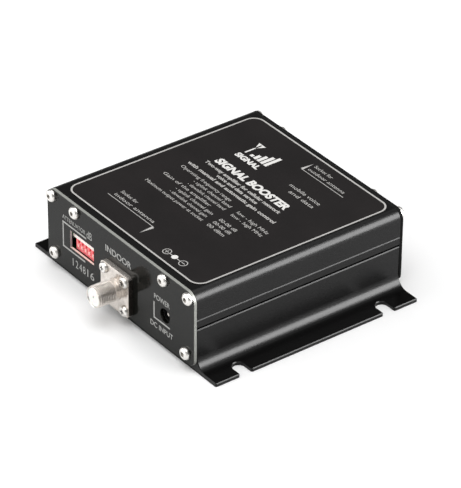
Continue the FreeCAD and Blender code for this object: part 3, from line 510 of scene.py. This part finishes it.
def print_top_label():
    """The label: a border line, two signs and lines of text."""
    film_low, film_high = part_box("top_label")
    film_top = Vector((0, 0, film_high.z))
    sheet = Print("top_label_print", film_top, RIGHT, BACK)
    margin, border, corner = 0.12, 0.76, 5.4
    note_cap, row_cap, contact_cap = 1.75, 1.7, 1.9
    left, right = film_low.x / MM + margin, film_high.x / MM - margin
    bottom, top = film_low.y / MM + margin, film_high.y / MM - margin
    sheet.shape(
        rounded_box(left, right, bottom, top, corner),
        rounded_box(left + border, right - border, bottom + border, top - border, corner - border),
    )

    # Signal-strength bars beside a plain mast, and a short word under them.
    bold = Print("top_label_title", film_top, RIGHT, BACK)
    foot, first_top, bar_rise = 27.4, 29.0, 1.75
    first_bar, bar_step, bar_wide = -19.7, 2.3, 1.7
    for index in range(5):
        across = first_bar + bar_step * index
        bold.bar(across, across + bar_wide, foot, first_top + bar_rise * index)
    bold.bar(-23.0, -22.2, foot, 36.0)
    bold.shape([(-24.8, 36.5), (-20.4, 36.5), (-22.6, 32.4)])
    bold.words("SIGNAL", -24.0, -9.2, 22.9, 2.7, weight=0.05)

    # Where the two aerials go.
    sheet.words("Socket for", 3.1, 14.4, 43.0, note_cap)
    sheet.words("outdoor antenna", 3.1, 26.2, 39.7, note_cap)
    sheet.bar(1.3, 28.4, 38.0, 38.3)
    sheet.shape([(0.55, 38.3), (2.05, 38.3), (1.3, 44.4)])
    sheet.words("Socket for", -27.9, -17.0, -31.4, note_cap)
    sheet.words("indoor antenna", -27.9, -1.2, -34.6, note_cap)
    sheet.bar(-29.9, 1.3, -36.2, -35.9)
    sheet.shape([(0.55, -36.2), (1.3, -42.9), (2.05, -36.2)])

    sheet.words("mobile voice", 8.2, 27.3, 26.3, contact_cap)
    sheet.words("and data", 12.0, 27.4, 22.9, contact_cap)

    # Title, and three lines a little heavier than the rest.
    bold.words("SIGNAL BOOSTER", -24.8, 21.9, 13.3, 3.6, weight=0.05, slant=0.12)
    sheet.words("Two-way amplifier for cellular network", -26.6, 22.9, 9.6, note_cap, weight=0.03)
    sheet.words("voice and data service", -15.0, 11.6, 6.7, note_cap, weight=0.03)
    sheet.words("with manual and automatic gain control", -30.3, 27.2, 3.6, note_cap, weight=0.03)

    # Data rows: text, value, and where each ends. An entry with a dash is indented.
    heading_left, entry_left, value_left = -29.5, -17.0, 12.2
    base, row_step = -0.35, 2.98
    rows = (
        ("Operating frequency range", None, 3.8, None),
        ("- uplink channel band", "low - high MHz", 7.6, 32.0),
        ("- downlink channel band", "low - high MHz", 7.6, 32.0),
        ("Gain of the amplifier", None, 2.0, None),
        ("- uplink channel gain", "00-00 dB", 7.6, 23.2),
        ("- downlink channel gain", "00-00 dB", 7.6, 23.2),
        ("Maximum output power at socket", "00 dBm", 8.8, 23.0),
    )
    for entry, value, right_end, value_end in rows:
        left_end = entry_left if entry.startswith("-") else heading_left
        sheet.words(entry, left_end, right_end, base, row_cap)
        if value:
            sheet.words(value, value_left, value_end, base, row_cap)
        base -= row_step

    polarity_sign(sheet, bold, left=18.7, middle=23.7, right=29.3, height=-42.0, radius=1.95, line=0.35)
    bold.print_in(bold_film_ink)
    sheet.print_in(film_ink)


def print_front_panel():
    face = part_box("front_panel")[0].y
    sheet = Print("front_panel_print", Vector((0, face, 0)), RIGHT, UP)
    line = 0.75
    sheet.words("INDOOR", -9.2, 8.4, 26.5, 2.8, weight=0.02)

    # The attenuator switch: its scale and a bracket round the window.
    left, bottom, top = -39.3, 13.2, 24.8
    sheet.bar(left, left + line, bottom - line / 2, top + line / 2)
    sheet.bar(left + line, -22.6, top - line / 2, top + line / 2)
    sheet.bar(left + line, -23.6, bottom - line / 2, bottom + line / 2)
    sheet.words("ATTENUATOR", left, -23.2, 26.3, 1.9)
    sheet.words("dB", -22.3, -18.6, 25.6, 3.4)
    figure_base, figure_cap = 7.0, 3.5
    for digits, across in (("1", -32.2), ("2", -29.5), ("4", -26.9), ("8", -24.4)):
        half = 0.27 if digits == "1" else 0.9
        sheet.words(digits, across - half, across + half, figure_base, figure_cap)
    sheet.words("16", -22.2, -17.4, figure_base, figure_cap)

    # The power socket: its words and an angle below it and to its left.
    left, bottom, power_cap = 23.3, 12.1, 2.3
    sheet.words("POWER", 23.7, 34.1, 21.6, power_cap, weight=0.01)
    sheet.bar(left, left + line, bottom, 19.9)
    sheet.bar(left + line, 34.2, bottom, bottom + line)
    sheet.words("DC INPUT", 21.2, 36.2, 8.1, power_cap, weight=0.01)
    sheet.print_in(panel_ink)


def print_rear_panel():
    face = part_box("rear_panel")[1].y
    sheet = Print("rear_panel_print", Vector((0, face, 0)), LEFT, UP)
    sheet.words("OUTDOOR", -11.4, 11.4, 26.5, 2.8, weight=0.02)
    sheet.print_in(panel_ink)


def print_switch():
    """The pale legend on the red switch: a number under each slider."""
    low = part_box("attenuator_switch_body")[0]
    sheet = Print("attenuator_switch_print", Vector((0, low.y, 0)), RIGHT, UP)
    base, cap = 15.15, 1.05
    for index in range(1, 6):
        slider_low, slider_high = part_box(f"attenuator_slider_{index}")
        middle = (slider_low.x + slider_high.x) / 2 / MM
        half = 0.09 if index == 1 else 0.36
        sheet.words(str(index), middle - half, middle + half, base, cap)
    sheet.print_in(finishes["white_slider"])


# ---------------------------------------------------------------- aerial sockets

# The sizes down to the screw head's are the CAD's.
FLANGE_THICK = 2.3
FLANGE_CORNER = 2.0
BORE = 3.9
SPIGOT = 3.6
STEM_BORE = 2.1
SCREW_HOLE_RADIUS = 1.3
SCREW_HEAD_RADIUS = 2.4
FLANGE_SOFT_EDGE = 0.22
SPIGOT_END = -1.5
THREAD_CREST, THREAD_ROOT = 4.7, 4.16
THREAD_PITCH = 0.794
# A tooth's height falls from its middle at this slope, and is cut off flat at 1.
TOOTH_PEAK, TOOTH_SLOPE = 1.35, 3.2
RUN_OUT_TURNS = 0.6
RINGS_PER_TURN = 12
TURN_STEPS = 72


def thread_radius(along, turn, start, end):
    """Radius of the thread at a place along the barrel and round it."""
    phase = (along / THREAD_PITCH - turn) % 1.0
    tooth = min(1.0, max(0.0, TOOTH_PEAK - TOOTH_SLOPE * abs(phase - 0.5)))
    fade = RUN_OUT_TURNS * THREAD_PITCH
    run_out = min(1.0, (along - start) / fade, (end - along) / fade)
    return THREAD_ROOT + (THREAD_CREST - THREAD_ROOT) * tooth * max(0.0, run_out)


def barrel_mesh(axis, outward, reach):
    """The threaded barrel with its bore and nose, and the stem behind the flange."""
    # Distance out of the panel and radius, from the bore's floor round the nose to the flange.
    thread_start, thread_end = 3.95, reach - 0.6
    buried = FLANGE_THICK - 0.3
    inner = [(buried, BORE), (reach - 0.35, BORE), (reach - 0.05, BORE + 0.2)]
    nose = [(reach, BORE + 0.3), (reach - 0.08, 4.3), (reach - 0.25, 4.45), (thread_end + 0.1, 4.45)]
    rings = int((thread_end - thread_start) / THREAD_PITCH * RINGS_PER_TURN)
    thread = [thread_end + (thread_start - thread_end) * i / rings for i in range(rings + 1)]
    neck = [(3.8, 4.1), (3.15, 4.1), (3.0, 4.55), (2.35, 4.6), (buried, 4.6)]

    mesh = bmesh.new()

    def ring(along, radius_at):
        """One ring of the barrel's skin."""
        made = []
        for i in range(TURN_STEPS):
            turn = i / TURN_STEPS
            radius = radius_at(turn)
            angle = 2 * math.pi * turn
            # Seen from outside the panel, the angle runs the same way round on both sockets.
            across = radius * math.cos(angle) * -outward
            offset = Vector((across, along * outward, radius * math.sin(angle)))
            made.append(mesh.verts.new(axis + MM * offset))
        return made

    def skin(outline):
        """Joins the rings of an outline, which comes back to where it starts."""
        loops = [ring(along, radius_at) for along, radius_at in outline]
        for first, second in zip(loops, loops[1:] + loops[:1]):
            for i in range(TURN_STEPS):
                j = (i + 1) % TURN_STEPS
                mesh.faces.new((first[i], first[j], second[j], second[i]))

    def plain(radius):
        return lambda turn: radius

    def threaded(along):
        return lambda turn: thread_radius(along, turn, thread_start, thread_end)

    skin(
        [(along, plain(radius)) for along, radius in inner + nose]
        + [(along, threaded(along)) for along in thread]
        + [(along, plain(radius)) for along, radius in neck]
    )
    stem_end = FLANGE_THICK - 0.5
    stem = [(SPIGOT_END, STEM_BORE), (stem_end, STEM_BORE), (stem_end, SPIGOT), (SPIGOT_END, SPIGOT)]
    skin([(along, plain(radius)) for along, radius in stem])
    bmesh.ops.recalc_face_normals(mesh, faces=mesh.faces)
    barrel = bpy.data.meshes.new("barrel")
    mesh.to_mesh(barrel)
    mesh.free()
    return barrel


def flange_mesh(axis, outward, half, screw_offset):
    """The square flange with round corners, five holes and softened edges."""
    screw_places = [(x * screw_offset, z * screw_offset) for x in (-1, 1) for z in (-1, 1)]
    holes = [ring_points(place, SCREW_HOLE_RADIUS, 24) for place in screw_places]
    outline = rounded_box(-half, half, -half, half, FLANGE_CORNER)
    plate = flat_shape([outline, ring_points((0, 0), STEM_BORE, 48), *holes], FLANGE_THICK)
    out = Vector((0, outward, 0))
    stand = Matrix((UP.cross(out), UP, out)).transposed().to_4x4()
    middle = axis + out * (FLANGE_THICK / 2 * MM)
    plate.transform(Matrix.Translation(middle) @ stand @ Matrix.Scale(MM, 4))
    plate_piece = bpy.data.objects.new("plate", plate)
    scene.collection.objects.link(plate_piece)
    weld = plate_piece.modifiers.new("weld", "WELD")
    weld.merge_threshold = 1e-6
    soften = plate_piece.modifiers.new("soften", "BEVEL")
    soften.width = FLANGE_SOFT_EDGE * MM
    soften.segments = 3
    soften.limit_method = "ANGLE"
    soften.angle_limit = math.radians(60)
    softened = bpy.data.meshes.new_from_object(
        plate_piece.evaluated_get(bpy.context.evaluated_depsgraph_get())
    )
    bpy.data.objects.remove(plate_piece)
    return softened


def make_socket(name, outward):
    """An aerial socket's body in place of the CAD's plain one; outward is -1 at the front."""
    low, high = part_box(f"{name}_socket_body")
    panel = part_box("front_panel")[0].y if outward < 0 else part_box("rear_panel")[1].y
    reach = abs((low.y if outward < 0 else high.y) - panel) / MM
    axis = Vector(((low.x + high.x) / 2, panel, (low.z + high.z) / 2))
    half = (high.x - low.x) / MM / 2
    screws_low, screws_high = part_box(f"{name}_socket_screws")
    screw_offset = (screws_high.x - screws_low.x) / MM / 2 - SCREW_HEAD_RADIUS

    whole = bmesh.new()
    whole.from_mesh(barrel_mesh(axis, outward, reach))
    whole.from_mesh(flange_mesh(axis, outward, half, screw_offset))
    made = bpy.data.meshes.new(f"{name}_socket_shell")
    whole.to_mesh(made)
    whole.free()
    piece = show(made, f"{name}_socket_shell", finishes["nickel_plate"], 40.0)
    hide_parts(f"{name}_socket_body")


print_top_label()
print_front_panel()
print_rear_panel()
print_switch()
make_socket("indoor", -1)
make_socket("outdoor", 1)


# ---------------------------------------------------------------- floor, light and camera

# The floor's side in metres, and how far below the case it lies in millimetres.
FLOOR_SIDE = 6.0
FLOOR_DROP = 0.05


def make_floor():
    bpy.ops.mesh.primitive_plane_add(size=FLOOR_SIDE, location=(0, 0, -FLOOR_DROP * MM))
    floor = bpy.context.object
    floor.name = "floor"
    finish = Finish("studio_floor", roughness=0.6, specular=0.2)
    cloud = finish.grain((60.0, 60.0, 60.0))
    patches = finish.spread(cloud, 0.0, 1.0)
    finish.set("Base Color", finish.blend(patches, (0.90, 0.90, 0.90), (0.88, 0.88, 0.88)))
    floor.data.materials.append(finish.material)


def area_light(name, place, target, width, height, power):
    """A white rectangle that shines at the target; metres and watts."""
    data = bpy.data.lights.new(name, "AREA")
    data.shape = "RECTANGLE"
    data.size = width
    data.size_y = height
    data.energy = power
    light = bpy.data.objects.new(name, data)
    light.location = place
    light.rotation_euler = (Vector(target) - Vector(place)).to_track_quat("-Z", "Y").to_euler()
    scene.collection.objects.link(light)
    return light


# The world's strength as polished surfaces and the camera see it, and as it lights matt ones.
WORLD_SEEN, WORLD_LIGHT = 0.2, 0.35


def light_scene():
    world = bpy.data.worlds.new("studio")
    world.use_nodes = True
    sky = world.node_tree.nodes["Background"]
    sky.inputs["Color"].default_value = (1.0, 1.0, 1.0, 1.0)
    kind = world.node_tree.nodes.new("ShaderNodeLightPath")
    strength = world.node_tree.nodes.new("ShaderNodeMapRange")
    strength.inputs["To Min"].default_value = WORLD_SEEN
    strength.inputs["To Max"].default_value = WORLD_LIGHT
    world.node_tree.links.new(kind.outputs["Is Diffuse Ray"], strength.inputs["Value"])
    world.node_tree.links.new(strength.outputs["Result"], sky.inputs["Strength"])
    scene.world = world
    # The strip light and the front wall show only in glossy surfaces, so they leave the floor alone.
    strip = area_light("strip_light", (0.70, 0.49, 0.41), (0, 0, 0.02), 0.62, 0.58, 25.0)
    strip.visible_diffuse = False
    area_light("overhead", (0.18, -0.05, 1.35), (0.03, 0, 0), 1.5, 1.5, 21.0)
    front_wall = area_light("front_wall", (-0.35, -1.3, 0.45), (0, 0, 0.02), 2.2, 0.9, 9.0)
    front_wall.visible_diffuse = False
    area_light("front_fill", (-0.7, -0.85, 0.55), (0, 0, 0.02), 1.1, 0.9, 7.0)
    scene.view_settings.view_transform = "Standard"
    scene.view_settings.look = "None"


# Degrees, then millimetres: the camera looks at the row frame's origin, shifted in its own plane.
AZIMUTH, ELEVATION, ROLL = 52.845, 32.955, 0.518
LENS, SENSOR = 255.03, 36.0
DISTANCE = 1406.05
AIM_ACROSS, AIM_UP = -2.682, -11.96


def make_camera():
    azimuth, elevation, roll = (math.radians(a) for a in (AZIMUTH, ELEVATION, ROLL))
    back = Vector((
        math.sin(azimuth) * math.cos(elevation), -math.cos(azimuth) * math.cos(elevation), math.sin(elevation)
    ))
    level = Vector((math.cos(azimuth), math.sin(azimuth), 0.0))
    rise = back.cross(level)
    right = level * math.cos(roll) + rise * math.sin(roll)
    up = rise * math.cos(roll) - level * math.sin(roll)
    data = bpy.data.cameras.new("camera")
    data.lens = LENS
    data.sensor_height = SENSOR
    data.sensor_width = SENSOR
    data.sensor_fit = "VERTICAL"
    data.clip_start = 0.05
    data.clip_end = 20.0
    camera = bpy.data.objects.new("camera", data)
    scene.collection.objects.link(camera)
    place = MM * (DISTANCE * back - AIM_ACROSS * right - AIM_UP * up)
    turn = Matrix((right, up, back)).transposed().to_4x4()
    camera.matrix_world = Matrix.Translation(place) @ turn
    scene.camera = camera


make_floor()
light_scene()
make_camera()
